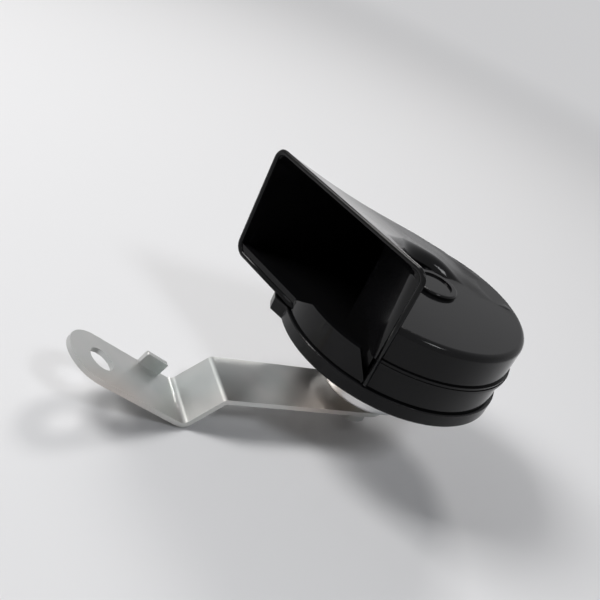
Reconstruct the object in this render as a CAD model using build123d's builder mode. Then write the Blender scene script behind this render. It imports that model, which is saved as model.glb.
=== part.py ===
from build123d import *
from math import acos, atan2, cos, degrees, radians, sin
import os

os.makedirs("parts", exist_ok=True)

# Heights are along the horn's axis, measured from the back of the retaining ring
ring_radius = 45.8
ring_height = 5.8
ring_edge_round = 0.8
ring_top_round = 0.5
ring_wall = 1.35
ring_lip_height = 1.2
ring_lip_width = 4.3
shell_setback = 1.2
shell_base_height = 6.5
flange_reach = 1.1
flange_height = 1.1
flange_step = 0.3
flange_end_setback = 4.0
parting_height = 17.4
face_height = 31.8
face_round = 2.4
wall = 2.2

# Mouth: how far its two ends stand out from the housing, and the height of its upper rim
mouth_far_reach = 12.1
mouth_far_setback = 0.9
mouth_near_reach = 1.57
mouth_near_angle = 230.45
mouth_top_height = 54.2
mouth_round = 5.0
mouth_inner_round = 3.2
mouth_low_round = 5.5
channel_fall_length = 86.0
channel_fall_power = 1.5
beyond_mouth = 14.0
beyond_mouth_inside = 18.0
roof_left_margin = 21.3
roof_right_margin = 5.4
roof_low_margin = 15.4
roof_high_margin = 7.4
roof_steps_along = 16
roof_steps_across = 14

# Boss on the face, and the wall of the channel that winds round the throat
boss_x = 5.3
boss_y = -0.6
boss_radius = 9.7
boss_height = 33.4
boss_edge_round = 0.8
boss_dish_radius = 7.2
boss_dish_depth = 0.7
throat_x = 3.7
throat_y = -3.0
throat_radius = 6.0
coil_wall_radius = 16.8
knee_reach = 9.9
step_end_angle = -6.0
step_rise_angle = 143.0
step_fade_length = 18.0
channel_end_turn = 12.0
inner_end_angle = -60.0
rib_end_angle = -142.0
rib_overlap_turn = 1.0

# Floor of the rear shell, its sill at the mouth and the drain notch at the low corner
floor_top_height = 10.4
chamber_top_height = 8.4
clamp_ring_width = 4.4
sill_thickness = 3.0
sill_top_height = 11.2
sill_length = 40.0
sill_rise_length = 10.5
notch_angle = 225.0
notch_left = 5.4
notch_right = 2.9
notch_bottom_height = 6.9
notch_depth = 3.4

# Lug on the retaining ring
lug_angle = 160.5
lug_height = 4.2
lug_tip_turn = 3.0
lug_foot_turn = 11.5

# Driver can, drawn from sheet
sheet = 1.2
can_flange_width = 6.7
can_plate_height = -3.0
cup_radius = 19.0
cup_bottom_height = -20.3
can_round = 1.6

# Diaphragm and its gasket
gasket_thickness = 0.8
diaphragm_thickness = 0.3
diaphragm_setback = 1.2
diaphragm_wave_inset = 14.2
diaphragm_wave_height = 0.6
diaphragm_wave_half = 4.0
diaphragm_wave_round = 4.0
gasket_width = 5.6

# Magnet: core, stud, coil and armature
stud_radius = 3.95
core_radius = 7.8
armature_radius = 7.6
air_gap = 0.7
armature_bottom_height = -5.3
pole_plate_thickness = 1.6
pole_hole_radius = 8.2
bobbin_bore_radius = 8.0
bobbin_wall = 1.2
coil_radius = 16.6
coil_gap = 0.8
coil_lead_radius = 15.4
lead_angle = 35.0
lead_turn = 45.0
collar_radius = 9.6
collar_thickness = 1.0
armature_stud_radius = 2.5
armature_washer_radius = 9.0
armature_washer_thickness = 1.0
armature_nut_height = 2.4
armature_nut_flats = 8.0
armature_stud_over = 0.4

# Bracket strip and the fasteners on the stud
strip_width = 25.0
strip_thickness = 2.0
seat_height = -24.8
inner_leg_length = 64.0
middle_leg_length = 18.0
middle_leg_angle = 47.9
outer_leg_length = 50.7
outer_leg_angle = 26.0
bend_radius = 3.0
stud_hole_radius = 4.3
bolt_hole_radius = 5.2
bolt_hole_from_end = 14.0
tab_near = 7.0
tab_length = 10.4
tab_height = 5.6
tab_round = 0.5
thread_gap = 0.05
rivet_gap = 0.05
rim_gap = 0.05
flange_gap = 0.25
nut_chamfer = 0.8
stud_tip_chamfer = 0.6
washer_gap_width = 1.2
nut_flats = 13.0
bracket_nut_height = 6.5
lock_washer_thickness = 1.8
lock_washer_radius = 7.0
stud_end_height = -37.4

# Breaker contacts, stacked on the plate of the can
contact_width = 7.0
contact_outer = 34.0
contact_inner = 13.0
contact_tip_x = 16.0
contact_tip_radius = 1.5
contact_tip_height = 0.6
insulator_inner = 25.6
insulator_height = 0.9
fixed_contact_thickness = 0.6
spring_inner = 8.8
spring_thickness = 0.3
spring_width = 6.0
contact_rivet_radius = 1.1
contact_rivet_head = 1.7
contact_rivet_places = (28.4, 32.0)
screw_x = 23.6
screw_radius = 1.7
screw_head_radius = 2.6
screw_head_height = 2.2
screw_slot_width = 0.8
screw_slot_depth = 0.9
screw_slot_turn = 30.0
contact_rivet_head_height = 0.8

# Connector on the back of the can
connector_angle = 90.0
connector_distance = 28.6
connector_length = 17.0
connector_width = 11.0
connector_height = 15.0
connector_wall = 1.6
connector_corner = 1.5
connector_floor = 3.0
connector_neck_length = 13.0
connector_neck_width = 7.4
connector_neck_height = 2.2
neck_gap = 0.15
connector_foot_length = 29.0
connector_foot_height = 1.6
connector_rivet_pitch = 23.4
connector_rivet_radius = 1.4
connector_rivet_head = 2.4
connector_rivet_head_height = 0.9
terminal_width = 4.8
terminal_thickness = 0.8
terminal_pitch = 6.6
terminal_inside = 3.4
terminal_outside = 12.4
terminal_chamfer = 0.9
lead_radius = 0.45
resistor_radius = 1.5
resistor_length = 8.0
resistor_inner = 20.5
resistor_y = -6.4
resistor_round = 0.5
resistor_leg_radius = 0.3
resistor_leg_out = 1.2
resistor_leg_bite = 0.6
lead_lift = 0.15
lead_straight = 2.0

# What fits inside the ring, from the ring's own radius inward
shell_radius = ring_radius - shell_setback
ring_bore_radius = ring_radius - ring_wall
ring_lip_radius = ring_radius - ring_lip_width
clamp_ring_radius = ring_bore_radius - rim_gap
clamp_ring_inner_radius = clamp_ring_radius - clamp_ring_width
can_flange_radius = ring_bore_radius - flange_gap
can_step_radius = can_flange_radius - can_flange_width
gasket_inner_radius = can_flange_radius - gasket_width
diaphragm_radius = can_flange_radius - diaphragm_setback
diaphragm_wave_radius = can_flange_radius - diaphragm_wave_inset
lug_reach = ring_radius + lug_height

# Where the strip's bolt hole is, which is the origin of the finished part
strip_half = strip_width / 2
first_bend_x = -inner_leg_length - middle_leg_length * cos(radians(middle_leg_angle))
first_bend_z = seat_height - middle_leg_length * sin(radians(middle_leg_angle))
outer_direction = Vector(-cos(radians(outer_leg_angle)), 0, sin(radians(outer_leg_angle)))
outer_normal = Vector(sin(radians(outer_leg_angle)), 0, cos(radians(outer_leg_angle)))
outer_bend = Vector(first_bend_x, 0, first_bend_z)
bolt_hole = outer_bend + outer_direction * (outer_leg_length - bolt_hole_from_end)


def write(piece, name):
    """Label a piece, put the bolt hole at the origin and save it."""
    placed = piece.moved(Location(-bolt_hole))
    placed.label = name
    export_step(placed, f"parts/{name}.step")


def at_angle(centre, radius, angle):
    """Point at a distance and an angle from a centre, in plan."""
    return centre + Vector(radius * cos(radians(angle)), radius * sin(radians(angle)))


# Plan of the mouth: a straight line whose inward side holds the shells
axis = Vector(0, 0)
mouth_far = Vector(-shell_radius - mouth_far_reach, shell_radius - mouth_far_setback)
mouth_near = at_angle(axis, shell_radius + mouth_near_reach, mouth_near_angle)
mouth_along = (mouth_near - mouth_far).normalized()
mouth_inward = Vector(-mouth_along.Y, mouth_along.X)
mouth_plane = Plane(origin=mouth_far, x_dir=mouth_along, z_dir=-mouth_inward)
mouth_turn = degrees(atan2(mouth_along.Y, mouth_along.X))
boss = Vector(boss_x, boss_y)
throat = Vector(throat_x, throat_y)
knee = throat - Vector(coil_wall_radius + knee_reach, 0)
step_direction = at_angle(axis, 1, step_rise_angle)
step_end = at_angle(throat, coil_wall_radius, step_end_angle)


def smooth(share):
    """Rise gently from 0 to 1 as the share does."""
    share = min(max(share, 0.0), 1.0)
    return share * share * (3 - 2 * share)


def channel_top(x, y):
    """Height of the channel's roof: highest at the mouth, level with the face where it fades out."""
    inward = (Vector(x, y) - mouth_far).dot(mouth_inward)
    fall = max(1 - inward / channel_fall_length, 0.0) ** channel_fall_power
    rising = smooth((Vector(x, y) - step_end).dot(step_direction) / step_fade_length)
    return face_height + (mouth_top_height - face_height) * fall * rising


def channel_plan(end_angle, beyond):
    """Outline of the rising part of the channel, from beyond the mouth to where it fades out."""
    tangent_angle = degrees(atan2(mouth_far.Y, mouth_far.X)) - degrees(acos(shell_radius / mouth_far.length))
    leave = at_angle(axis, shell_radius, tangent_angle)
    far_direction = (mouth_far - leave).normalized()
    near_direction = (mouth_near - knee).normalized()
    far_start = mouth_far + far_direction * beyond
    near_start = mouth_near + near_direction * beyond
    knee_turn = 180 - degrees(acos(coil_wall_radius / (throat - knee).length))
    wrap = at_angle(throat, coil_wall_radius, knee_turn)
    wrap_end = at_angle(throat, coil_wall_radius, end_angle)
    rim_angle = end_angle - channel_end_turn
    rim_end = at_angle(axis, shell_radius, rim_angle)
    Line(far_start, leave)
    CenterArc((0, 0), shell_radius, tangent_angle, rim_angle - tangent_angle)
    Line(rim_end, wrap_end)
    CenterArc(tuple(throat), coil_wall_radius, end_angle, knee_turn - end_angle)
    Polyline(wrap, knee, near_start, far_start)


def roof(lowered):
    """Smooth sheet over the whole channel, lowered by a thickness."""
    left = mouth_far.X - roof_left_margin
    low = -shell_radius - roof_low_margin
    wide = (shell_radius + roof_right_margin - left) / roof_steps_along
    deep = (shell_radius + roof_high_margin - low) / roof_steps_across
    xs = [left + wide * i for i in range(roof_steps_along + 1)]
    ys = [low + deep * i for i in range(roof_steps_across + 1)]
    grid = [[Vector(x, y, channel_top(x, y) - lowered) for y in ys] for x in xs]
    return Face.make_surface_from_array_of_points(grid, tol=0.01, min_deg=3, max_deg=3)


def channel_body(inset, end_angle, beyond, rounding, bottom):
    """Solid that fills the rising channel, set in from its outer skin, rounded above except at the mouth."""
    tall = 2 * mouth_top_height
    under_roof = extrude(roof(inset), amount=tall, dir=(0, 0, -1))
    with BuildPart() as body:
        with BuildSketch(Plane.XY.offset(bottom)):
            with BuildLine():
                channel_plan(end_angle, beyond)
            make_face()
            if inset:
                offset(amount=-inset, kind=Kind.INTERSECTION)
        extrude(amount=tall)
        add(under_roof, mode=Mode.INTERSECT)
        top = body.faces().sort_by(Axis.Z)[-1]
        past_mouth = top.edges().filter_by(lambda edge: (edge.center() - mouth_far).dot(mouth_inward) > wall)
        fillet(past_mouth, radius=rounding)
    return body.part


def channel_face(end_angle, beyond, mode=Mode.ADD):
    """Fill the channel's outline in the sketch at hand."""
    with BuildLine() as outline:
        channel_plan(end_angle, beyond)
    make_face(outline.edges(), mode=mode)


def clear_beyond_mouth(inward):
    """Take away what lies outside the mouth line, moved inward by a distance."""
    deep = 2 * shell_radius
    centre = (mouth_far + mouth_near) / 2 - mouth_inward * (deep / 2 - inward)
    with Locations(tuple(centre)):
        Rectangle(3 * deep, deep, rotation=mouth_turn, mode=Mode.SUBTRACT)


def channel_hollow():
    """Inside of the rising channel: its outline moved in by the wall."""
    channel_face(inner_end_angle, beyond_mouth_inside)
    offset(amount=-wall, kind=Kind.INTERSECTION)


def near_channel():
    """Inner turn of the channel: the disc without the rising part and without the rib."""
    Circle(shell_radius - wall)
    channel_face(step_end_angle, beyond_mouth, Mode.SUBTRACT)
    rib_turn = step_end_angle + rib_overlap_turn - rib_end_angle
    with BuildLine() as rib:
        inner = CenterArc(tuple(throat), coil_wall_radius, rib_end_angle, rib_turn)
        outer = CenterArc(tuple(throat), coil_wall_radius + wall, rib_end_angle, rib_turn)
        Line(inner @ 0, outer @ 0)
        Line(inner @ 1, outer @ 1)
    make_face(rib.edges(), mode=Mode.SUBTRACT)


def flange(bottom, reach):
    """Thin rim round a shell at the parting line."""
    with BuildPart() as rim:
        with BuildSketch(Plane.XY.offset(bottom)):
            channel_face(step_end_angle, 0)
            offset(amount=reach)
            clear_beyond_mouth(flange_end_setback)
            Circle(shell_radius + reach)
            Circle(shell_radius - wall, mode=Mode.SUBTRACT)
            channel_face(step_end_angle, beyond_mouth, Mode.SUBTRACT)
        extrude(amount=flange_height)
    return rim.part


# Front shell: cap over the disc, the rising channel, the boss, then the hollow inside
channel_outer = channel_body(0, step_end_angle, 0, mouth_round, parting_height)
channel_inner = channel_body(wall, inner_end_angle, beyond_mouth_inside, mouth_inner_round, parting_height - wall)
whole_flange = flange(parting_height, flange_reach - flange_step)
with BuildPart() as front_flange:
    add(whole_flange)
    split(bisect_by=mouth_plane, keep=Keep.BOTTOM)
with BuildPart() as front_shell:
    with BuildSketch(Plane.XY.offset(parting_height)):
        Circle(shell_radius)
    extrude(amount=face_height - parting_height)
    fillet(front_shell.edges().group_by(Axis.Z)[-1], radius=face_round)
    with BuildSketch(Plane.XY.offset(face_height - wall / 2)):
        with Locations(tuple(boss)):
            Circle(boss_radius)
    extrude(amount=boss_height - face_height + wall / 2)
    fillet(front_shell.edges().group_by(Axis.Z)[-1], radius=boss_edge_round)
    with BuildSketch(Plane.XY.offset(boss_height)):
        with Locations(tuple(boss)):
            Circle(boss_dish_radius)
    extrude(amount=-boss_dish_depth, mode=Mode.SUBTRACT)
    split(bisect_by=mouth_plane, keep=Keep.BOTTOM)
    add(channel_outer)
    with BuildSketch(Plane.XY.offset(parting_height)):
        near_channel()
    extrude(amount=face_height - wall - parting_height, mode=Mode.SUBTRACT)
    add(channel_inner, mode=Mode.SUBTRACT)
    add(front_flange.part)
write(front_shell.part, "front_shell")

# Foot of the rising channel, its lower edge rounded along the far wall
with BuildPart() as channel_foot:
    with BuildSketch(Plane.XY.offset(shell_base_height)):
        channel_face(step_end_angle, 0)
    extrude(amount=parting_height - shell_base_height)
    low_edges = channel_foot.edges().group_by(Axis.Z)[0].filter_by(GeomType.LINE)
    fillet(low_edges.sort_by(Axis.Y)[-1], radius=mouth_low_round)

# Rear shell: pan with the channel's floor, the clamp ring below and the sill at the mouth
diaphragm_bottom = ring_lip_height + sheet + gasket_thickness
diaphragm_top = diaphragm_bottom + diaphragm_thickness
rear_flange = flange(parting_height - flange_height, flange_reach)
notch_plane = Plane(
    origin=at_angle(axis, shell_radius - notch_depth, notch_angle),
    x_dir=at_angle(axis, 1, notch_angle + 90),
    z_dir=at_angle(axis, 1, notch_angle),
)
with BuildPart() as rear_shell:
    with BuildSketch(Plane.XY.offset(shell_base_height)):
        Circle(shell_radius)
    extrude(amount=parting_height - shell_base_height)
    add(channel_foot.part)
    add(rear_flange)
    with BuildSketch(Plane.XY.offset(diaphragm_top)):
        Circle(clamp_ring_radius)
    extrude(amount=shell_base_height - diaphragm_top)
    with BuildSketch(Plane.XY.offset(diaphragm_top)):
        Circle(clamp_ring_inner_radius)
    extrude(amount=chamber_top_height - diaphragm_top, mode=Mode.SUBTRACT)
    with BuildSketch(Plane.XY.offset(floor_top_height)):
        near_channel()
    extrude(amount=parting_height - floor_top_height, mode=Mode.SUBTRACT)
    with BuildSketch(Plane.XY.offset(floor_top_height)):
        channel_hollow()
        clear_beyond_mouth(sill_thickness)
    extrude(amount=parting_height - floor_top_height, mode=Mode.SUBTRACT)
    with BuildSketch(Plane.XY.offset(floor_top_height)):
        channel_hollow()
        Circle(shell_radius - wall, mode=Mode.INTERSECT)
    extrude(amount=parting_height - floor_top_height, mode=Mode.SUBTRACT)
    with BuildSketch(mouth_plane.offset(-sill_thickness)):
        with BuildLine():
            Polyline(
                (wall, sill_top_height),
                (sill_length, sill_top_height),
                (sill_length + sill_rise_length, parting_height),
                (sill_length + sill_rise_length, parting_height + wall),
                (wall, parting_height + wall),
                close=True,
            )
        make_face()
    extrude(amount=3 * sill_thickness, mode=Mode.SUBTRACT)
    with BuildSketch(Plane.XY.offset(chamber_top_height)):
        with Locations(tuple(throat)):
            Circle(throat_radius)
    extrude(amount=floor_top_height - chamber_top_height, mode=Mode.SUBTRACT)
    with BuildSketch(notch_plane):
        with BuildLine():
            Polyline(
                (-notch_left, parting_height + wall),
                (notch_right, parting_height + wall),
                (notch_right, notch_bottom_height),
                close=True,
            )
        make_face()
    extrude(amount=shell_radius, mode=Mode.SUBTRACT)
write(rear_shell.part, "rear_shell")

# Retaining ring rolled over the clamp ring and the can, with the lug that keys it
with BuildPart() as rim_ring:
    with BuildSketch():
        Circle(ring_radius)
        with BuildLine():
            near_tip = at_angle(axis, lug_reach, lug_angle - lug_tip_turn)
            far_tip = at_angle(axis, lug_reach, lug_angle + lug_tip_turn)
            near_foot = at_angle(axis, ring_bore_radius, lug_angle - lug_foot_turn)
            far_foot = at_angle(axis, ring_bore_radius, lug_angle + lug_foot_turn)
            Line(near_foot, near_tip)
            ThreePointArc(near_tip, at_angle(axis, lug_reach, lug_angle), far_tip)
            Polyline(far_tip, far_foot, (0, 0), near_foot)
        make_face()
    extrude(amount=ring_height)
    fillet(rim_ring.edges().group_by(Axis.Z)[0], radius=ring_edge_round)
    fillet(rim_ring.edges().group_by(Axis.Z)[-1], radius=ring_top_round)
    with BuildSketch(Plane.XY.offset(ring_lip_height)):
        Circle(ring_bore_radius)
    extrude(amount=ring_height - ring_lip_height, mode=Mode.SUBTRACT)
    with BuildSketch():
        Circle(ring_lip_radius)
    extrude(amount=ring_lip_height, mode=Mode.SUBTRACT)
write(rim_ring.part, "rim_ring")

# Driver can: a flange, a shallow step and the cup round the coil, all one drawn sheet
connector_middle = at_angle(axis, connector_distance, connector_angle)
connector_plane = Plane(
    origin=(connector_middle.X, connector_middle.Y, can_plate_height),
    x_dir=at_angle(axis, 1, connector_angle + 90),
    z_dir=(0, 0, -1),
)
with BuildPart() as can:
    with BuildSketch(Plane.XZ):
        with BuildLine():
            FilletPolyline(
                (stud_hole_radius, cup_bottom_height),
                (cup_radius, cup_bottom_height),
                (cup_radius, can_plate_height),
                (can_step_radius, can_plate_height),
                (can_step_radius, ring_lip_height),
                (can_flange_radius, ring_lip_height),
                radius=can_round,
            )
            offset(amount=sheet, side=Side.LEFT)
        make_face()
    revolve(axis=Axis.Z)
    with BuildSketch(connector_plane):
        Rectangle(connector_neck_length + 2 * neck_gap, connector_neck_width + 2 * neck_gap)
        with GridLocations(connector_rivet_pitch, 0, 2, 1):
            Circle(connector_rivet_radius + rivet_gap)
    extrude(amount=-sheet, mode=Mode.SUBTRACT)
    with BuildSketch(Plane.XY.offset(can_plate_height)):
        with Locations((screw_x, 0)):
            Circle(screw_radius + thread_gap)
        with Locations(*[(x, 0) for x in contact_rivet_places]):
            Circle(contact_rivet_radius + rivet_gap)
    extrude(amount=sheet, mode=Mode.SUBTRACT)
write(can.part, "can")

# Gasket between the can's flange and the diaphragm
with BuildPart() as gasket:
    with BuildSketch(Plane.XY.offset(ring_lip_height + sheet)):
        Circle(can_flange_radius)
        Circle(gasket_inner_radius, mode=Mode.SUBTRACT)
    extrude(amount=gasket_thickness)
write(gasket.part, "gasket")

# Diaphragm: thin spring steel with one rolled wave
with BuildPart() as diaphragm:
    with BuildSketch(Plane.XZ):
        with BuildLine():
            FilletPolyline(
                (armature_stud_radius + thread_gap, diaphragm_bottom),
                (diaphragm_wave_radius - diaphragm_wave_half, diaphragm_bottom),
                (diaphragm_wave_radius, diaphragm_bottom + diaphragm_wave_height),
                (diaphragm_wave_radius + diaphragm_wave_half, diaphragm_bottom),
                (diaphragm_radius, diaphragm_bottom),
                radius=diaphragm_wave_round,
            )
            offset(amount=diaphragm_thickness, side=Side.LEFT)
        make_face()
    revolve(axis=Axis.Z)
write(diaphragm.part, "diaphragm")

# Fixed core: turned pole that carries the coil, with the long stud behind it
core_top_height = armature_bottom_height - air_gap
bobbin_bottom = cup_bottom_height + sheet
with BuildPart() as fixed_core:
    with BuildSketch(Plane.XY.offset(stud_end_height)):
        Circle(stud_radius)
    extrude(amount=core_top_height - stud_end_height)
    chamfer(fixed_core.edges().group_by(Axis.Z)[0], length=stud_tip_chamfer)
    with BuildSketch(Plane.XY.offset(bobbin_bottom)):
        Circle(core_radius)
    extrude(amount=core_top_height - bobbin_bottom)
write(fixed_core.part, "fixed_core")

# Bobbin: moulded spool between the bottom of the cup and the pole plate
plate_top = can_plate_height + sheet
bobbin_top = plate_top - pole_plate_thickness
with BuildPart() as coil_bobbin:
    with BuildSketch(Plane.XY.offset(bobbin_bottom)):
        Circle(coil_radius + coil_gap)
    extrude(amount=bobbin_wall)
    with BuildSketch(Plane.XY.offset(bobbin_top)):
        Circle(coil_radius + coil_gap)
    extrude(amount=-bobbin_wall)
    with BuildSketch(Plane.XY.offset(bobbin_bottom)):
        Circle(bobbin_bore_radius + bobbin_wall)
    extrude(amount=bobbin_top - bobbin_bottom)
    with BuildSketch(Plane.XY.offset(bobbin_bottom)):
        Circle(bobbin_bore_radius)
    extrude(amount=bobbin_top - bobbin_bottom, mode=Mode.SUBTRACT)
    with BuildSketch(Plane.XY.offset(bobbin_top)):
        with PolarLocations(coil_lead_radius, 2, start_angle=lead_angle, angular_range=2 * lead_turn):
            Circle(lead_radius + rivet_gap)
    extrude(amount=-bobbin_wall, mode=Mode.SUBTRACT)
write(coil_bobbin.part, "coil_bobbin")

# Winding: the copper wire of the coil as one ring
with BuildPart() as coil_winding:
    with BuildSketch(Plane.XY.offset(bobbin_bottom + bobbin_wall)):
        Circle(coil_radius)
        Circle(bobbin_bore_radius + bobbin_wall, mode=Mode.SUBTRACT)
    extrude(amount=bobbin_top - bobbin_bottom - 2 * bobbin_wall)
write(coil_winding.part, "coil_winding")

# Pole plate: steel ring that closes the cup round the armature
with BuildPart() as pole_plate:
    with BuildSketch(Plane.XY.offset(bobbin_top)):
        Circle(cup_radius - sheet)
        Circle(pole_hole_radius, mode=Mode.SUBTRACT)
        with PolarLocations(coil_lead_radius, 2, start_angle=lead_angle, angular_range=2 * lead_turn):
            Circle(lead_radius + rivet_gap, mode=Mode.SUBTRACT)
    extrude(amount=pole_plate_thickness)
write(pole_plate.part, "pole_plate")

# Armature: plunger, collar under the diaphragm and threaded stud above it
armature_stud_top = diaphragm_top + armature_washer_thickness + armature_nut_height + armature_stud_over
with BuildPart() as armature:
    with BuildSketch(Plane.XY.offset(armature_bottom_height)):
        Circle(armature_radius)
    extrude(amount=diaphragm_bottom - armature_bottom_height)
    chamfer(armature.edges().group_by(Axis.Z)[0], length=stud_tip_chamfer)
    with BuildSketch(Plane.XY.offset(diaphragm_bottom - collar_thickness)):
        Circle(collar_radius)
    extrude(amount=collar_thickness)
    with BuildSketch(Plane.XY.offset(diaphragm_bottom)):
        Circle(armature_stud_radius)
    extrude(amount=armature_stud_top - diaphragm_bottom)
write(armature.part, "armature")

# Washer that spreads the armature's nut over the diaphragm
with BuildPart() as armature_washer:
    with BuildSketch(Plane.XY.offset(diaphragm_top)):
        Circle(armature_washer_radius)
        Circle(armature_stud_radius + thread_gap, mode=Mode.SUBTRACT)
    extrude(amount=armature_washer_thickness)
write(armature_washer.part, "armature_washer")


def hexagon_nut(bottom, height, flats, bore):
    """Hexagon nut with chamfered corners, standing at a height on the horn's axis."""
    with BuildPart() as nut:
        with BuildSketch(Plane.XY.offset(bottom)):
            Circle(flats / 2 / cos(radians(30)))
        extrude(amount=height)
        chamfer(nut.edges().group_by(Axis.Z)[0], length=nut_chamfer)
        chamfer(nut.edges().group_by(Axis.Z)[-1], length=nut_chamfer)
        with BuildSketch(Plane.XY.offset(bottom)):
            RegularPolygon(radius=flats / 2, side_count=6, major_radius=False)
        extrude(amount=height, mode=Mode.INTERSECT)
        with BuildSketch(Plane.XY.offset(bottom)):
            Circle(bore)
        extrude(amount=height, mode=Mode.SUBTRACT)
    return nut.part


armature_nut = hexagon_nut(
    diaphragm_top + armature_washer_thickness,
    armature_nut_height,
    armature_nut_flats,
    armature_stud_radius + thread_gap,
)
write(armature_nut, "armature_nut")

# Bracket: one bent strip with rounded ends, a hole at each end and the small turned-up tab
outer_plane = Plane(origin=outer_bend, x_dir=outer_direction, z_dir=outer_normal)
outer_end = outer_bend + outer_direction * outer_leg_length
outer_round_x = outer_leg_length - strip_half
with BuildPart() as bracket:
    with BuildSketch(Plane.XZ):
        with BuildLine():
            FilletPolyline(
                (strip_half, seat_height),
                (-inner_leg_length, seat_height),
                (outer_bend.X, outer_bend.Z),
                (outer_end.X, outer_end.Z),
                radius=bend_radius,
            )
            offset(amount=strip_thickness, side=Side.LEFT)
        make_face()
    extrude(amount=strip_half, both=True)
    with BuildSketch(Plane.XY.offset(seat_height)):
        with Locations((strip_half / 2, 0)):
            Rectangle(strip_half, strip_width)
        Circle(strip_half, mode=Mode.SUBTRACT)
        Circle(stud_hole_radius)
    extrude(amount=-strip_thickness, mode=Mode.SUBTRACT)
    with BuildSketch(outer_plane):
        with Locations((outer_round_x + strip_half / 2, 0)):
            Rectangle(strip_half, strip_width)
        with Locations((outer_round_x, 0)):
            Circle(strip_half, mode=Mode.SUBTRACT)
        with Locations((outer_leg_length - bolt_hole_from_end, 0)):
            Circle(bolt_hole_radius)
    extrude(amount=-strip_thickness, mode=Mode.SUBTRACT)
    with BuildSketch(outer_plane.offset(-strip_thickness)):
        with Locations((tab_near + tab_length / 2, (strip_thickness - strip_width) / 2)):
            Rectangle(tab_length, strip_thickness)
    extrude(amount=strip_thickness + tab_height)
    crosswise = bracket.edges().filter_by(Axis.Y).filter_by_position(Axis.X, outer_end.X, outer_bend.X)
    fillet(crosswise.sort_by(Axis(outer_bend, outer_normal))[-2:], radius=tab_round)
write(bracket.part, "bracket")

# Fasteners on the stud: nut against the can, then the strip, the lock washer and the outer nut
stud_bore = stud_radius + thread_gap
core_nut = hexagon_nut(seat_height, cup_bottom_height - seat_height, nut_flats, stud_bore)
write(core_nut, "core_nut")
washer_top = seat_height - strip_thickness
with BuildPart() as lock_washer:
    with BuildSketch(Plane.XY.offset(washer_top)):
        Circle(lock_washer_radius)
        Circle(stud_bore, mode=Mode.SUBTRACT)
        with Locations((lock_washer_radius / 2, 0)):
            Rectangle(lock_washer_radius + stud_bore, washer_gap_width, mode=Mode.SUBTRACT)
    extrude(amount=-lock_washer_thickness)
write(lock_washer.part, "lock_washer")
bracket_nut_bottom = washer_top - lock_washer_thickness - bracket_nut_height
bracket_nut = hexagon_nut(bracket_nut_bottom, bracket_nut_height, nut_flats, stud_bore)
write(bracket_nut, "bracket_nut")


def contact_strip(bottom, height, inner, width):
    """Flat strip of the contact stack, from an inner end to the common outer end, with its two rivet holes."""
    with BuildPart() as strip:
        with BuildSketch(Plane.XY.offset(bottom)):
            with Locations(((inner + contact_outer) / 2, 0)):
                Rectangle(contact_outer - inner, width)
            with Locations(*[(x, 0) for x in contact_rivet_places]):
                Circle(contact_rivet_radius + rivet_gap, mode=Mode.SUBTRACT)
        extrude(amount=height)
    return strip.part


def contact_tip(bottom):
    """Round contact point on the end of a strip."""
    with BuildPart() as tip:
        with BuildSketch(Plane.XY.offset(bottom)):
            with Locations((contact_tip_x, 0)):
                Circle(contact_tip_radius)
        extrude(amount=contact_tip_height)
    return tip.part


# Breaker contacts: insulator, fixed strip, insulator and spring strip, riveted to the can's plate
fixed_bottom = plate_top + insulator_height
fixed_top = fixed_bottom + fixed_contact_thickness
spring_bottom = fixed_top + 2 * contact_tip_height
write(contact_strip(plate_top, insulator_height, insulator_inner, contact_width), "contact_insulator_lower")
write(contact_strip(fixed_bottom, fixed_contact_thickness, contact_inner, contact_width), "fixed_contact")
write(contact_tip(fixed_top), "fixed_contact_tip")
write(contact_strip(fixed_top, 2 * contact_tip_height, insulator_inner, contact_width), "contact_insulator_upper")
write(contact_strip(spring_bottom, spring_thickness, spring_inner, spring_width), "contact_spring")
write(contact_tip(fixed_top + contact_tip_height), "contact_spring_tip")

# Rivets that hold the contact stack to the plate, a head at each end
spring_top = spring_bottom + spring_thickness
with BuildPart() as contact_rivets:
    with BuildSketch(Plane.XY.offset(can_plate_height)):
        with Locations(*[(x, 0) for x in contact_rivet_places]):
            Circle(contact_rivet_radius)
    extrude(amount=spring_top - can_plate_height)
    with BuildSketch(Plane.XY.offset(spring_top)):
        with Locations(*[(x, 0) for x in contact_rivet_places]):
            Circle(contact_rivet_head)
    extrude(amount=contact_rivet_head_height)
    with BuildSketch(Plane.XY.offset(can_plate_height)):
        with Locations(*[(x, 0) for x in contact_rivet_places]):
            Circle(contact_rivet_head)
    extrude(amount=-contact_rivet_head_height)
write(contact_rivets.part, "contact_rivets")

# Adjusting screw: pushes the fixed contact from below, its slotted head is outside the can
with BuildPart() as adjusting_screw:
    with BuildSketch(Plane.XY.offset(can_plate_height)):
        with Locations((screw_x, 0)):
            Circle(screw_radius)
    extrude(amount=fixed_bottom - can_plate_height)
    with BuildSketch(Plane.XY.offset(can_plate_height)):
        with Locations((screw_x, 0)):
            Circle(screw_head_radius)
    extrude(amount=-screw_head_height)
    with BuildSketch(Plane.XY.offset(can_plate_height - screw_head_height)):
        with Locations((screw_x, 0)):
            Rectangle(2 * screw_head_radius, screw_slot_width, rotation=screw_slot_turn)
    extrude(amount=screw_slot_depth, mode=Mode.SUBTRACT)
write(adjusting_screw.part, "adjusting_screw")

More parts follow.
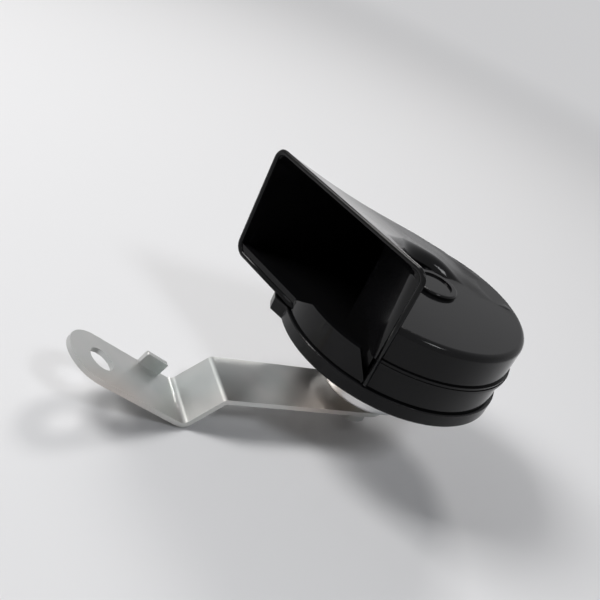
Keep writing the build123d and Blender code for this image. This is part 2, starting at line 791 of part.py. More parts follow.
# Connector body: foot riveted to the back of the can, open socket, and a neck through the window
with BuildPart() as connector_body:
    with BuildSketch(connector_plane):
        RectangleRounded(connector_foot_length, connector_width, connector_corner)
    extrude(amount=connector_foot_height)
    with BuildSketch(connector_plane):
        RectangleRounded(connector_length, connector_width, connector_corner)
    extrude(amount=connector_height)
    with BuildSketch(connector_plane):
        Rectangle(connector_neck_length, connector_neck_width)
    extrude(amount=-connector_neck_height)
    with BuildSketch(connector_plane.offset(connector_floor)):
        Rectangle(connector_length - 2 * connector_wall, connector_width - 2 * connector_wall)
    extrude(amount=connector_height - connector_floor, mode=Mode.SUBTRACT)
    with BuildSketch(connector_plane.offset(-connector_neck_height)):
        with GridLocations(terminal_pitch, 0, 2, 1):
            Rectangle(terminal_thickness + 2 * thread_gap, terminal_width + 2 * thread_gap)
    extrude(amount=connector_neck_height + connector_floor, mode=Mode.SUBTRACT)
    with BuildSketch(connector_plane):
        with GridLocations(connector_rivet_pitch, 0, 2, 1):
            Circle(connector_rivet_radius + rivet_gap)
    extrude(amount=connector_foot_height, mode=Mode.SUBTRACT)
write(connector_body.part, "connector_body")


def terminal(offset_along):
    """Flat blade through the connector's neck, with chamfered outer corners."""
    with BuildPart() as blade:
        with BuildSketch(connector_plane.offset(-terminal_inside)):
            with Locations((offset_along, 0)):
                Rectangle(terminal_thickness, terminal_width)
        extrude(amount=terminal_inside + terminal_outside)
        tip = blade.faces().sort_by(Axis.Z)[0]
        chamfer(tip.edges().sort_by(Edge.length)[:2], length=terminal_chamfer)
    return blade.part


write(terminal(-terminal_pitch / 2), "terminal_supply")
write(terminal(terminal_pitch / 2), "terminal_ground")

# Rivets that hold the connector's foot, a head at each end
with BuildPart() as connector_rivets:
    with BuildSketch(connector_plane.offset(-sheet)):
        with GridLocations(connector_rivet_pitch, 0, 2, 1):
            Circle(connector_rivet_radius)
    extrude(amount=sheet + connector_foot_height)
    with BuildSketch(connector_plane.offset(connector_foot_height)):
        with GridLocations(connector_rivet_pitch, 0, 2, 1):
            Circle(connector_rivet_head)
    extrude(amount=connector_rivet_head_height)
    with BuildSketch(connector_plane.offset(-sheet)):
        with GridLocations(connector_rivet_pitch, 0, 2, 1):
            Circle(connector_rivet_head)
    extrude(amount=-connector_rivet_head_height)
write(connector_rivets.part, "connector_rivets")


def wire(radius, *points):
    """Round wire along straight runs with a bend at each corner."""
    with BuildPart() as run:
        with BuildLine() as path:
            FilletPolyline(*points, radius=2 * radius)
        with BuildSketch(Plane(origin=path.line @ 0, z_dir=path.line % 0)):
            Circle(radius)
        sweep()
    return run.part


# Coil leads: out of the spool, one to the ground terminal and one to the fixed contact
winding_top = bobbin_top - bobbin_wall
lead_height = can_plate_height + connector_neck_height + lead_radius + lead_lift
ground_foot = at_angle(axis, coil_lead_radius, lead_angle + lead_turn)
ground_edge = at_angle(axis, connector_distance - terminal_width / 2, connector_angle)
ground_end = at_angle(ground_edge, terminal_pitch / 2, connector_angle + 90)
ground_approach = at_angle(ground_end, -lead_straight, connector_angle)
coil_lead_terminal = wire(
    lead_radius,
    ground_foot + Vector(0, 0, winding_top),
    ground_foot + Vector(0, 0, lead_height),
    ground_approach + Vector(0, 0, lead_height),
    ground_end + Vector(0, 0, lead_height),
)
write(coil_lead_terminal, "coil_lead_terminal")
contact_foot = at_angle(axis, coil_lead_radius, lead_angle)
contact_joint_height = (fixed_bottom + fixed_top) / 2
contact_end = Vector(contact_tip_x, contact_width / 2, contact_joint_height)
coil_lead_contact = wire(
    lead_radius,
    contact_foot + Vector(0, 0, winding_top),
    contact_foot + Vector(0, 0, contact_joint_height),
    contact_end + Vector(0, lead_straight, 0),
    contact_end,
)
write(coil_lead_contact, "coil_lead_contact")

# Contact lead: from the spring strip to the side of the supply terminal
between_rivets = (contact_rivet_places[0] + contact_rivet_places[1]) / 2
spring_joint = Vector(between_rivets, contact_rivet_head + lead_radius, spring_top + lead_radius)
supply_middle = at_angle(connector_middle, -terminal_pitch / 2, connector_angle + 90)
supply_end = at_angle(supply_middle, terminal_thickness / 2, connector_angle - 90)
supply_approach = at_angle(supply_end, 2 * lead_straight, connector_angle - 90)
contact_lead = wire(
    lead_radius,
    spring_joint,
    spring_joint + Vector(0, lead_straight, 0),
    supply_approach + Vector(0, 0, lead_height),
    supply_end + Vector(0, 0, lead_height),
)
write(contact_lead, "contact_lead")

# Resistor across the contacts: a small body on the plate with its two legs
resistor_height = plate_top + resistor_radius
resistor_start = Vector(resistor_inner, resistor_y, resistor_height)
resistor_end = Vector(resistor_inner + resistor_length, resistor_y, resistor_height)
fixed_joint = Vector(contact_tip_x + contact_tip_radius, -contact_width / 2, contact_joint_height)
spring_leg_joint = Vector(between_rivets, -contact_rivet_head, spring_top + resistor_leg_radius)
inner_leg = wire(
    resistor_leg_radius,
    resistor_start + Vector(resistor_leg_bite, 0, 0),
    Vector(fixed_joint.X, resistor_y, resistor_height),
    fixed_joint - Vector(0, resistor_leg_out, 0),
    fixed_joint,
)
outer_leg = wire(
    resistor_leg_radius,
    resistor_end - Vector(resistor_leg_bite, 0, 0),
    resistor_end + Vector(resistor_leg_out, 0, 0),
    Vector(between_rivets, resistor_y + resistor_leg_out, spring_leg_joint.Z),
    spring_leg_joint,
)
with BuildPart() as resistor:
    with BuildSketch(Plane(origin=resistor_start, z_dir=(1, 0, 0))):
        Circle(resistor_radius)
    extrude(amount=resistor_length)
    fillet(resistor.edges().filter_by(GeomType.CIRCLE), radius=resistor_round)
    add(inner_leg)
    add(outer_leg)
write(resistor.part, "resistor")
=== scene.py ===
import bpy
import math
import numpy as np
from mathutils import Matrix, Vector


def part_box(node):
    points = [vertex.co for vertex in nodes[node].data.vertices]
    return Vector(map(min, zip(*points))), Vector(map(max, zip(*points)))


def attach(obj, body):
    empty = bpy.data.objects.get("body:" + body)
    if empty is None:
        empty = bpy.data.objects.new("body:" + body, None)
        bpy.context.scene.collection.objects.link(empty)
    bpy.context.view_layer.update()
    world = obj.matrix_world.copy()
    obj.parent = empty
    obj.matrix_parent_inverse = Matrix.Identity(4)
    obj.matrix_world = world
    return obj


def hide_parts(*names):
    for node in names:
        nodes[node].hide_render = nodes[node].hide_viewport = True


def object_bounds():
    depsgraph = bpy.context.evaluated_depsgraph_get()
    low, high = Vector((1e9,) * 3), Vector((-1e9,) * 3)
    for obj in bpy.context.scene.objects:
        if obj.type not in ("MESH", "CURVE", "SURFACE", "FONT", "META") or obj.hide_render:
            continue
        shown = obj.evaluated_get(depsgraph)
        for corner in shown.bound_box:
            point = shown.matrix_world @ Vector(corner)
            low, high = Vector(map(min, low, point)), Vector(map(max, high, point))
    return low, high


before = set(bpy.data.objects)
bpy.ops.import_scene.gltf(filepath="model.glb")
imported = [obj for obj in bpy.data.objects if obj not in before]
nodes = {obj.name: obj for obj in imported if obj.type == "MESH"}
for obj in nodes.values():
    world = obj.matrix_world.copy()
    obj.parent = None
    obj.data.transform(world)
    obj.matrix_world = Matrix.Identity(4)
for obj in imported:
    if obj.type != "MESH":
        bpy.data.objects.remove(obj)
cad_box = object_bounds()

# Camera: stands in front of the mouth, to the bolt hole's side, and looks
# down on the horn. Its three axes are those of the photograph's viewpoint,
# in the frame of the horn, with a field of view of a short telephoto lens.
camera_place = Vector((-0.07513, -0.21136, 0.16770))
camera_right = Vector((0.86246, -0.31947, 0.39257))
camera_up = Vector((-0.14521, 0.58683, 0.79658))
camera_back = Vector((-0.48485, -0.74403, 0.45972))
camera_data = bpy.data.cameras.new("camera")
camera_data.lens = 46.87
camera_data.sensor_width = 36.0
camera_data.clip_start = 0.01
camera = bpy.data.objects.new("camera", camera_data)
bpy.context.scene.collection.objects.link(camera)
turn = Matrix((camera_right, camera_up, camera_back)).transposed()
camera.matrix_world = Matrix.Translation(camera_place) @ turn.to_4x4()
bpy.context.scene.camera = camera
bpy.context.scene.view_settings.view_transform = "Standard"


# Studio floor: pale, just under the lowest bend of the bracket. Far from the
# horn it fades to the room's pale colour, so that no edge of it shows.
def new_material(name):
    """An empty node material with its output, as (material, nodes, links)."""
    made = bpy.data.materials.new(name)
    made.use_nodes = True
    tree = made.node_tree
    tree.nodes.clear()
    tree.nodes.new("ShaderNodeOutputMaterial")
    return made, tree.nodes, tree.links


def seen_directly(n, k):
    """1 for a ray that shows its surface in the picture: from the camera, a mirror or glass."""
    rays = n.new("ShaderNodeLightPath")
    first = n.new("ShaderNodeMath")
    first.operation = "MAXIMUM"
    both = n.new("ShaderNodeMath")
    both.operation = "MAXIMUM"
    k.new(rays.outputs["Is Camera Ray"], first.inputs[0])
    k.new(rays.outputs["Is Glossy Ray"], first.inputs[1])
    k.new(first.outputs[0], both.inputs[0])
    k.new(rays.outputs["Is Transmission Ray"], both.inputs[1])
    return both.outputs[0]


pale = (0.60, 0.60, 0.61)
floor_colour = (0.76, 0.77, 0.79)
fade_start = 0.45
fade_end = 1.6
floor_drop = 0.0006
floor_half = 40.0
floor_height = cad_box[0][2] - floor_drop
floor_signs = ((-1, -1), (1, -1), (1, 1), (-1, 1))
floor_corners = [(x * floor_half, y * floor_half, floor_height) for x, y in floor_signs]
floor_mesh = bpy.data.meshes.new("floor")
floor_mesh.from_pydata(floor_corners, [], [(0, 1, 2, 3)])
floor = bpy.data.objects.new("floor", floor_mesh)
bpy.context.scene.collection.objects.link(floor)
floor_paint, n, k = new_material("floor_paint")
near_floor = n.new("ShaderNodeBsdfDiffuse")
near_floor.inputs["Color"].default_value = (*floor_colour, 1)
far_floor = n.new("ShaderNodeEmission")
far_floor.inputs["Color"].default_value = (*pale, 1)
floor_coords = n.new("ShaderNodeTexCoord")
floor_reach = n.new("ShaderNodeVectorMath")
floor_reach.operation = "LENGTH"
fade = n.new("ShaderNodeMapRange")
fade.interpolation_type = "SMOOTHSTEP"
fade.inputs["From Min"].default_value = fade_start
fade.inputs["From Max"].default_value = fade_end
shown = n.new("ShaderNodeMath")
shown.operation = "MULTIPLY"
floor_mix = n.new("ShaderNodeMixShader")
k.new(floor_coords.outputs["Object"], floor_reach.inputs[0])
k.new(floor_reach.outputs["Value"], fade.inputs["Value"])
k.new(fade.outputs["Result"], shown.inputs[0])
k.new(seen_directly(n, k), shown.inputs[1])
k.new(shown.outputs[0], floor_mix.inputs[0])
k.new(near_floor.outputs[0], floor_mix.inputs[1])
k.new(far_floor.outputs[0], floor_mix.inputs[2])
k.new(floor_mix.outputs[0], n["Material Output"].inputs["Surface"])
floor_mesh.materials.append(floor_paint)

# Studio room: bright behind the horn and dim behind the camera, so that black
# plastic keeps dark sides and a light upper face. It is a little warm low
# down and a little cool overhead.
room_bright = 0.42
room_dim = 0.07
dim_until = -0.35
bright_from = 0.75
warm_until = 0.45
cool_from = 0.75
room_warm = (1.0, 0.92, 0.86)
room_cool = (0.90, 0.95, 1.0)
room = bpy.data.worlds.new("room")
bpy.context.scene.world = room
room.use_nodes = True
n, k = room.node_tree.nodes, room.node_tree.links
n.clear()
room_output = n.new("ShaderNodeOutputWorld")
direction = n.new("ShaderNodeTexCoord")
parts = n.new("ShaderNodeSeparateXYZ")
across = n.new("ShaderNodeMapRange")
across.interpolation_type = "SMOOTHSTEP"
across.inputs["From Min"].default_value = dim_until
across.inputs["From Max"].default_value = bright_from
across.inputs["To Min"].default_value = room_dim
across.inputs["To Max"].default_value = room_bright
upward = n.new("ShaderNodeMapRange")
upward.interpolation_type = "SMOOTHSTEP"
upward.inputs["From Min"].default_value = warm_until
upward.inputs["From Max"].default_value = cool_from
room_tint = n.new("ShaderNodeMix")
room_tint.data_type = "RGBA"
room_tint.inputs["A"].default_value = (*room_warm, 1)
room_tint.inputs["B"].default_value = (*room_cool, 1)
lit = n.new("ShaderNodeBackground")
seen = n.new("ShaderNodeBackground")
seen.inputs["Color"].default_value = (*pale, 1)
choose = n.new("ShaderNodeMixShader")
k.new(direction.outputs["Generated"], parts.inputs[0])
k.new(parts.outputs["Y"], across.inputs["Value"])
k.new(across.outputs["Result"], lit.inputs["Strength"])
k.new(parts.outputs["Z"], upward.inputs["Value"])
k.new(upward.outputs["Result"], room_tint.inputs["Factor"])
k.new(room_tint.outputs["Result"], lit.inputs["Color"])
k.new(seen_directly(n, k), choose.inputs[0])
k.new(lit.outputs[0], choose.inputs[1])
k.new(seen.outputs[0], choose.inputs[2])
k.new(choose.outputs[0], room_output.inputs[0])


# Studio lamps: three soft squares, a large one over the bracket's side, a
# small one in front and a middling one behind. All face the horn.
def add_lamp(name, place, aim, width, power, tint):
    """A square soft lamp at a place, turned to face a point."""
    data = bpy.data.lights.new(name, "AREA")
    data.shape = "SQUARE"
    data.size = width
    data.energy = power
    data.color = tint
    lamp = bpy.data.objects.new(name, data)
    bpy.context.scene.collection.objects.link(lamp)
    lamp.location = place
    lamp.rotation_euler = (Vector(aim) - Vector(place)).to_track_quat("-Z", "Y").to_euler()


shell_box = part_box("front_shell")
horn_centre = (Vector(shell_box[0]) + Vector(shell_box[1])) / 2
add_lamp("key", (-0.55, 0.35, 0.85), horn_centre, width=0.42, power=8.0, tint=(1.0, 0.98, 0.96))
add_lamp("front", (0.25, -0.62, 0.95), horn_centre, width=0.22, power=2.2, tint=(0.97, 0.98, 1.0))
add_lamp("back", (0.55, 0.75, 0.95), horn_centre, width=0.30, power=5.0, tint=(1.0, 0.97, 0.94))


# Trumpet shells: two black mouldings of glossy plastic, the front one with
# the mouth's upper rim and the boss, the rear one with the sill. They are
# snapped and glued along the thin flange that runs round the housing.
def noise(n, k, coords, scale, detail, rough=0.5):
    """Values of a noise texture on some coordinates."""
    made = n.new("ShaderNodeTexNoise")
    made.inputs["Scale"].default_value = scale
    made.inputs["Detail"].default_value = detail
    made.inputs["Roughness"].default_value = rough
    k.new(coords, made.inputs["Vector"])
    return made.outputs["Fac"]


def spread(n, k, value, low, high, out_low, out_high):
    """Remap a value's range, held at both ends."""
    made = n.new("ShaderNodeMapRange")
    made.inputs["From Min"].default_value = low
    made.inputs["From Max"].default_value = high
    made.inputs["To Min"].default_value = out_low
    made.inputs["To Max"].default_value = out_high
    k.new(value, made.inputs["Value"])
    return made.outputs["Result"]


def two_tone(n, k, share, first, second):
    """Mix a colour, or what another mix gives, with a second colour by a share."""
    made = n.new("ShaderNodeMix")
    made.data_type = "RGBA"
    k.new(share, made.inputs["Factor"])
    if isinstance(first, tuple):
        made.inputs["A"].default_value = (*first, 1)
    else:
        k.new(first, made.inputs["A"])
    made.inputs["B"].default_value = (*second, 1)
    return made.outputs["Result"]


def relief(n, k, height, strength, distance):
    """A bump from a height."""
    made = n.new("ShaderNodeBump")
    made.inputs["Strength"].default_value = strength
    made.inputs["Distance"].default_value = distance
    k.new(height, made.inputs["Height"])
    return made.outputs["Normal"]


def plastic(name, dark, light, rough_low, rough_high, grain_scale, grain_depth):
    """Moulded plastic: faint cloudy colour, patchy gloss and a fine moulded grain."""
    made, n, k = new_material(name)
    coords = n.new("ShaderNodeTexCoord").outputs["Object"]
    shader = n.new("ShaderNodeBsdfPrincipled")
    shader.inputs["Specular IOR Level"].default_value = 0.18
    cloud = noise(n, k, coords, scale=60.0, detail=3.0)
    haze = noise(n, k, coords, scale=22.0, detail=5.0, rough=0.6)
    grain = noise(n, k, coords, scale=grain_scale, detail=2.0)
    colour = two_tone(n, k, cloud, dark, light)
    gloss = spread(n, k, haze, low=0.3, high=0.7, out_low=rough_low, out_high=rough_high)
    k.new(colour, shader.inputs["Base Color"])
    k.new(gloss, shader.inputs["Roughness"])
    k.new(relief(n, k, grain, strength=0.12, distance=grain_depth), shader.inputs["Normal"])
    k.new(shader.outputs[0], n["Material Output"].inputs["Surface"])
    return made


def dress(names, material, edge=0.0):
    """Give CAD nodes a material, join their triangles, round edges by a width and keep corners crisp."""
    join_distance = 0.000002
    rounded_angle = math.radians(40.0)
    sharp_angle = math.radians(35.0)
    for name in names:
        piece = nodes[name]
        piece.data.materials.clear()
        piece.data.materials.append(material)
        weld = piece.modifiers.new("weld", "WELD")
        weld.merge_threshold = join_distance
        if edge:
            bevel = piece.modifiers.new("edge", "BEVEL")
            bevel.width = edge
            bevel.segments = 2
            bevel.limit_method = "ANGLE"
            bevel.angle_limit = rounded_angle
        smooth = np.ones(len(piece.data.polygons), dtype=bool)
        piece.data.polygons.foreach_set("use_smooth", smooth)
        split = piece.modifiers.new("split", "EDGE_SPLIT")
        split.split_angle = sharp_angle
        normals = piece.modifiers.new("normals", "WEIGHTED_NORMAL")
        normals.weight = 100


shell_edge = 0.0005
shell_black = plastic(
    "shell_black",
    dark=(0.0035, 0.0036, 0.0042),
    light=(0.0052, 0.0052, 0.0056),
    rough_low=0.08,
    rough_high=0.17,
    grain_scale=1400.0,
    grain_depth=0.000008,
)
dress(["front_shell", "rear_shell"], shell_black, edge=shell_edge)

# Lip of the mouth: the shells' black plastic ends in a rounded front edge at
# the mouth's plane. It is moulded with them and runs up the near wall, over
# the top, down the far wall and along the sill.
front_low, front_high = np.array(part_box("front_shell"))
horn_axis = np.array(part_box("can")).mean(axis=0)[:2]
ring_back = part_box("rim_ring")[0][2]
shell_radius = 0.0446
near_reach = 0.00157
near_angle = math.radians(230.45)
far_setback = 0.0009
lip_wall = 0.0022
lip_inset = 0.00002
lip_reach = 0.0009
lip_round = 0.0050
foot_round = 0.0055
foot_height = 0.0065
near_end_height = 0.0069
sill_length = 0.040
corner_steps = 14
bead_steps = 16
top_height = front_high[2] - ring_back
lip_middle = lip_wall / 2
near_direction = np.array((math.cos(near_angle), math.sin(near_angle)))
near_corner = horn_axis + (shell_radius + near_reach) * near_direction
far_corner = np.array((front_low[0], horn_axis[1] + shell_radius - far_setback))
mouth_width = np.linalg.norm(near_corner - far_corner)
along = (near_corner - far_corner) / mouth_width
outward = np.array((along[1], -along[0]))


def quarter_turn(across, up, radius, start):
    """Quarter circle in the mouth's plane: a centre, plus radius times the cosine and sine of its angle."""
    angles = start + np.linspace(0.0, math.pi / 2, corner_steps)
    return np.stack((across + radius * np.cos(angles), up + radius * np.sin(angles)), axis=1)


def bead_surface(line, half_width, reach):
    """Oval bead carried along a line in the mouth's plane.

    A point of it is the line's point, plus half_width times the cosine of the
    turn across the line, plus reach times its sine out of the plane.
    """
    tangents = np.gradient(line, axis=0)
    tangents /= np.linalg.norm(tangents, axis=1)[:, None]
    sideways = np.stack((-tangents[:, 1], tangents[:, 0]), axis=1)
    turns = np.linspace(0.0, 2 * math.pi, bead_steps, endpoint=False)
    side = half_width * np.cos(turns)
    front = reach * np.sin(turns)
    flat = line[:, None, :] + sideways[:, None, :] * side[None, :, None]
    points = np.zeros((len(line), bead_steps, 3))
    points[:, :, :2] = far_corner + flat[:, :, :1] * along + front[None, :, None] * outward
    points[:, :, 2] = ring_back + flat[:, :, 1]
    return points


def tube_faces(rows, steps):
    """Quads between the rows of a tube whose points are numbered row by row, facing outwards."""
    row = np.arange(rows - 1)[:, None] * steps
    here = np.arange(steps)[None, :]
    after = (here + 1) % steps
    quads = (row + here, row + after, row + steps + after, row + steps + here)
    return np.stack(quads, axis=-1).reshape(-1, 4)


def add_surface(name, points, faces, material):
    """A smooth surface at the origin, from a list of points and a list of faces."""
    mesh = bpy.data.meshes.new(name)
    mesh.from_pydata(points, [], faces)
    mesh.polygons.foreach_set("use_smooth", np.ones(len(faces), dtype=bool))
    mesh.materials.append(material)
    made = bpy.data.objects.new(name, mesh)
    bpy.context.scene.collection.objects.link(made)
    return made


corner_radius = lip_round - lip_middle
foot_radius = foot_round - lip_middle
rim_line = np.vstack(
    (
        [(mouth_width - lip_middle, near_end_height)],
        quarter_turn(mouth_width - lip_round, top_height - lip_round, corner_radius, 0.0),
        quarter_turn(lip_round, top_height - lip_round, corner_radius, math.pi / 2),
        quarter_turn(foot_round, foot_height + foot_round, foot_radius, math.pi),
        [(sill_length, foot_height + lip_middle)],
    )
)
lip_points = bead_surface(rim_line, lip_middle - lip_inset, lip_reach)
first_end = list(reversed(range(bead_steps)))
last_end = list(range((len(rim_line) - 1) * bead_steps, len(rim_line) * bead_steps))
lip_faces = tube_faces(len(rim_line), bead_steps).tolist() + [first_end, last_end]
mouth_lip = add_surface("mouth_lip", lip_points.reshape(-1, 3).tolist(), lip_faces, shell_black)
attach(mouth_lip, "horn")

# Retaining ring: a pressed steel band, lacquered black, rolled over the rear
# shell and the can. Its lug locates the horn when the band is closed.
ring_edge = 0.0003
ring_black = plastic(
    "ring_black",
    dark=(0.0035, 0.0036, 0.0042),
    light=(0.0055, 0.0055, 0.006),
    rough_low=0.16,
    rough_high=0.26,
    grain_scale=900.0,
    grain_depth=0.00001,
)
dress(["rim_ring"], ring_black, edge=ring_edge)


# Bracket: one strip of steel, cut, bent and zinc plated, which two nuts clamp
# on the stud. The plating has a hazy gloss, slow changes of tint and the
# sheet's rolling grain.
def plated(name, light, tinted, warm, stretch, rough_low, rough_high):
    """Bare or plated metal: grain drawn out along one axis, hazy gloss and slow changes of tint."""
    made, n, k = new_material(name)
    coords = n.new("ShaderNodeTexCoord").outputs["Object"]
    rolled = n.new("ShaderNodeMapping")
    rolled.inputs["Scale"].default_value = stretch
    k.new(coords, rolled.inputs["Vector"])
    shader = n.new("ShaderNodeBsdfPrincipled")
    shader.inputs["Metallic"].default_value = 1.0
    grain = noise(n, k, rolled.outputs[0], scale=1.0, detail=1.0)
    haze = noise(n, k, coords, scale=70.0, detail=4.0, rough=0.55)
    tint = noise(n, k, coords, scale=38.0, detail=2.0)
    blush = noise(n, k, coords, scale=17.0, detail=1.0)
    tint_share = spread(n, k, tint, low=0.35, high=0.65, out_low=0.0, out_high=1.0)
    blush_share = spread(n, k, blush, low=0.5, high=0.72, out_low=0.0, out_high=0.75)
    cool = two_tone(n, k, tint_share, light, tinted)
    gloss = spread(n, k, haze, low=0.3, high=0.7, out_low=rough_low, out_high=rough_high)
    k.new(two_tone(n, k, blush_share, cool, warm), shader.inputs["Base Color"])
    k.new(gloss, shader.inputs["Roughness"])
    k.new(relief(n, k, grain, strength=0.5, distance=0.0000012), shader.inputs["Normal"])
    k.new(shader.outputs[0], n["Material Output"].inputs["Surface"])
    return made


strip_edge = 0.00025
strip_zinc = plated(
    "strip_zinc",
    light=(0.58, 0.58, 0.57),
    tinted=(0.48, 0.51, 0.50),
    warm=(0.62, 0.54, 0.49),
    stretch=(240.0, 1300.0, 240.0),
    rough_low=0.28,
    rough_high=0.37,
)
dress(["bracket"], strip_zinc, edge=strip_edge)

# Can: the cup round the magnet, drawn from zinc-plated steel sheet. Its
# flange is clamped by the ring, and it shows as a bright curve behind it.
can_zinc = plated(
    "can_zinc",
    light=(0.78, 0.78, 0.78),
    tinted=(0.70, 0.72, 0.73),
    warm=(0.78, 0.76, 0.74),
    stretch=(1500.0, 1500.0, 300.0),
    rough_low=0.28,
    rough_high=0.34,
)
dress(["can"], can_zinc)

# Nuts, lock washer and adjusting screw: turned or punched steel with a plain
# zinc plating. They sit on the stud, on the armature and in the can.
nut_edge = 0.00015
nut_zinc = plated(
    "nut_zinc",
    light=(0.66, 0.66, 0.64),
    tinted=(0.58, 0.60, 0.60),
    warm=(0.70, 0.66, 0.56),
    stretch=(300.0, 300.0, 900.0),
    rough_low=0.28,
    rough_high=0.40,
)
nut_names = ["core_nut", "bracket_nut", "lock_washer", "armature_nut", "adjusting_screw"]
dress(nut_names, nut_zinc, edge=nut_edge)

# Magnet parts: the armature, its washer and the pole plate are plain steel,
# turned or punched and lightly oiled. The armature hangs on the diaphragm.
turned_steel = plated(
    "turned_steel",
    light=(0.42, 0.42, 0.42),
    tinted=(0.36, 0.36, 0.37),
    warm=(0.42, 0.39, 0.35),
    stretch=(200.0, 200.0, 2500.0),
    rough_low=0.28,
    rough_high=0.40,
)
dress(["armature", "armature_washer", "pole_plate"], turned_steel)

# Fixed core: one turned steel piece, the pole inside the coil and the long
# stud behind it. The stud's thread is rolled and takes the two nuts that
# hold the can and the bracket.
core_low, core_high = np.array(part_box("fixed_core"))
core_middle = (core_low + core_high) / 2
core_radius = (core_high[0] - core_low[0]) / 2
can_sheet = 0.0012
stud_bottom = core_low[2]
core_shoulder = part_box("can")[0][2] + can_sheet
stud_radius = 0.00395
thread_pitch = 0.00125
thread_depth = 0.00068
groove_power = 0.8
tip_length = 0.0009
turn_steps = 72
rows_per_pitch = 9
thread_sharp_angle = math.radians(50.0)


def stud_surface(turn_angle, height):
    """Radius of the stud at a turn and a height.

    It is stud_radius less a groove that climbs one pitch a turn, V-shaped but
    for a slight power, which runs out at the shoulder and tapers at the tip.
    """
    phase = ((height - stud_bottom) / thread_pitch - turn_angle / (2 * math.pi)) % 1.0
    groove = thread_depth * (1.0 - np.abs(2.0 * phase - 1.0)) ** groove_power
    tip = np.clip((stud_bottom + tip_length - height) / tip_length, 0.0, 1.0)
    run_out = np.clip((core_shoulder - height) / thread_pitch, 0.0, 1.0)
    return stud_radius - groove * run_out * (1.0 - tip) - thread_depth * tip


thread_rows = int((core_shoulder - stud_bottom) / thread_pitch * rows_per_pitch)
stud_heights = np.linspace(stud_bottom, core_shoulder, thread_rows)
core_turns = np.linspace(0.0, 2 * math.pi, turn_steps, endpoint=False)
turn_grid, stud_grid = np.meshgrid(core_turns, stud_heights)
pole_heights = np.repeat([[core_shoulder], [core_high[2]]], turn_steps, axis=1)
core_radii = np.vstack((stud_surface(turn_grid, stud_grid), np.full((2, turn_steps), core_radius)))
core_grid = (
    core_middle[0] + core_radii * np.cos(core_turns),
    core_middle[1] + core_radii * np.sin(core_turns),
    np.vstack((stud_grid, pole_heights)),
)
core_points = np.stack(core_grid, axis=-1).reshape(-1, 3).tolist()
core_rows = thread_rows + 2
tip_centre = len(core_points)
pole_centre = tip_centre + 1
core_points.append((core_middle[0], core_middle[1], stud_bottom))
core_points.append((core_middle[0], core_middle[1], core_high[2]))
here = np.arange(turn_steps)
after = (here + 1) % turn_steps
last_row = (core_rows - 1) * turn_steps
tip_fan = np.stack((np.full(turn_steps, tip_centre), after, here), axis=1)
pole_fan = np.stack((np.full(turn_steps, pole_centre), last_row + here, last_row + after), axis=1)
core_faces = tube_faces(core_rows, turn_steps).tolist() + tip_fan.tolist() + pole_fan.tolist()
threaded_core = add_surface("threaded_core", core_points, core_faces, turned_steel)
core_split = threaded_core.modifiers.new("split", "EDGE_SPLIT")
core_split.split_angle = thread_sharp_angle
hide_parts("fixed_core")
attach(threaded_core, "horn")

# Diaphragm: a thin disc of spring steel with one pressed wave. Its rim is
# clamped with the gasket on the can's flange, and its middle carries the
# armature and flexes with it.
spring_steel = plated(
    "spring_steel",
    light=(0.34, 0.35, 0.38),
    tinted=(0.28, 0.29, 0.33),
    warm=(0.36, 0.33, 0.28),
    stretch=(300.0, 300.0, 300.0),
    rough_low=0.28,
    rough_high=0.36,
)
dress(["diaphragm"], spring_steel)

# Coil spool: moulded from pale plastic, it sits round the fixed core in the
# can and keeps the winding off the steel.
spool_white = plastic(
    "spool_white",
    dark=(0.62, 0.60, 0.52),
    light=(0.70, 0.68, 0.60),
    rough_low=0.40,
    rough_high=0.55,
    grain_scale=600.0,
    grain_depth=0.00003,
)
dress(["coil_bobbin"], spool_white)

# Winding and leads: enamelled copper wire. The ends of the winding are
# soldered to a terminal and to the fixed contact.
copper_wire = plated(
    "copper_wire",
    light=(0.72, 0.30, 0.14),
    tinted=(0.60, 0.24, 0.10),
    warm=(0.76, 0.38, 0.20),
    stretch=(200.0, 200.0, 5200.0),
    rough_low=0.28,
    rough_high=0.40,
)
dress(["coil_winding", "coil_lead_terminal", "coil_lead_contact", "contact_lead"], copper_wire)

# Gasket: a flat ring of black rubber, punched from sheet, that seals the can
# against the diaphragm.
gasket_rubber = plastic(
    "gasket_rubber",
    dark=(0.012, 0.012, 0.012),
    light=(0.02, 0.02, 0.02),
    rough_low=0.6,
    rough_high=0.8,
    grain_scale=800.0,
    grain_depth=0.00005,
)
dress(["gasket"], gasket_rubber)

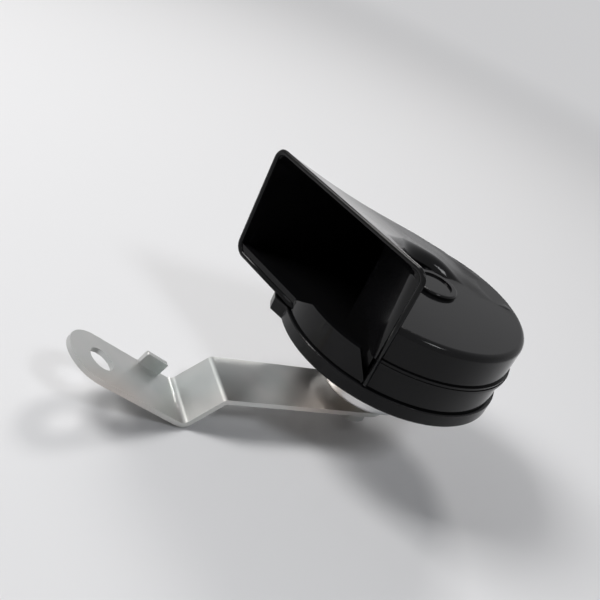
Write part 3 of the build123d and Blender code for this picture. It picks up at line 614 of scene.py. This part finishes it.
# Insulators: two punched plates of brown laminated board, riveted with the
# contacts, which they keep apart.
board_brown = plastic(
    "board_brown",
    dark=(0.16, 0.07, 0.03),
    light=(0.22, 0.10, 0.045),
    rough_low=0.45,
    rough_high=0.65,
    grain_scale=700.0,
    grain_depth=0.00005,
)
dress(["contact_insulator_lower", "contact_insulator_upper"], board_brown)

# Contacts and terminals: punched and bent from rolled brass strip. The
# contacts are riveted in the can, the terminals stand in the connector.
strip_brass = plated(
    "strip_brass",
    light=(0.72, 0.52, 0.24),
    tinted=(0.66, 0.46, 0.20),
    warm=(0.74, 0.50, 0.30),
    stretch=(80.0, 1200.0, 80.0),
    rough_low=0.28,
    rough_high=0.38,
)
dress(["fixed_contact", "contact_spring", "terminal_supply", "terminal_ground"], strip_brass)

# Contact points: small tungsten discs on the two contacts, where the current
# is broken at each stroke of the armature.
point_grey = plated(
    "point_grey",
    light=(0.50, 0.50, 0.50),
    tinted=(0.44, 0.44, 0.45),
    warm=(0.50, 0.48, 0.45),
    stretch=(700.0, 700.0, 700.0),
    rough_low=0.28,
    rough_high=0.34,
)
dress(["fixed_contact_tip", "contact_spring_tip"], point_grey)

# Rivets: light alloy, closed by a press. Two hold the contacts and their
# insulators, two hold the connector to the back of the can.
rivet_alloy = plated(
    "rivet_alloy",
    light=(0.74, 0.74, 0.74),
    tinted=(0.68, 0.68, 0.69),
    warm=(0.72, 0.70, 0.66),
    stretch=(700.0, 700.0, 700.0),
    rough_low=0.3,
    rough_high=0.45,
)
dress(["contact_rivets", "connector_rivets"], rivet_alloy)

# Connector: a matt black moulding with an open socket round the terminals,
# riveted to the back of the can.
connector_black = plastic(
    "connector_black",
    dark=(0.008, 0.008, 0.009),
    light=(0.014, 0.014, 0.015),
    rough_low=0.42,
    rough_high=0.6,
    grain_scale=900.0,
    grain_depth=0.00005,
)
dress(["connector_body"], connector_black)

# Resistor: a small ceramic body with a green coating, wired across the
# contacts to save them from sparks.
resistor_green = plastic(
    "resistor_green",
    dark=(0.10, 0.17, 0.13),
    light=(0.14, 0.22, 0.17),
    rough_low=0.35,
    rough_high=0.5,
    grain_scale=900.0,
    grain_depth=0.00003,
)
dress(["resistor"], resistor_green)
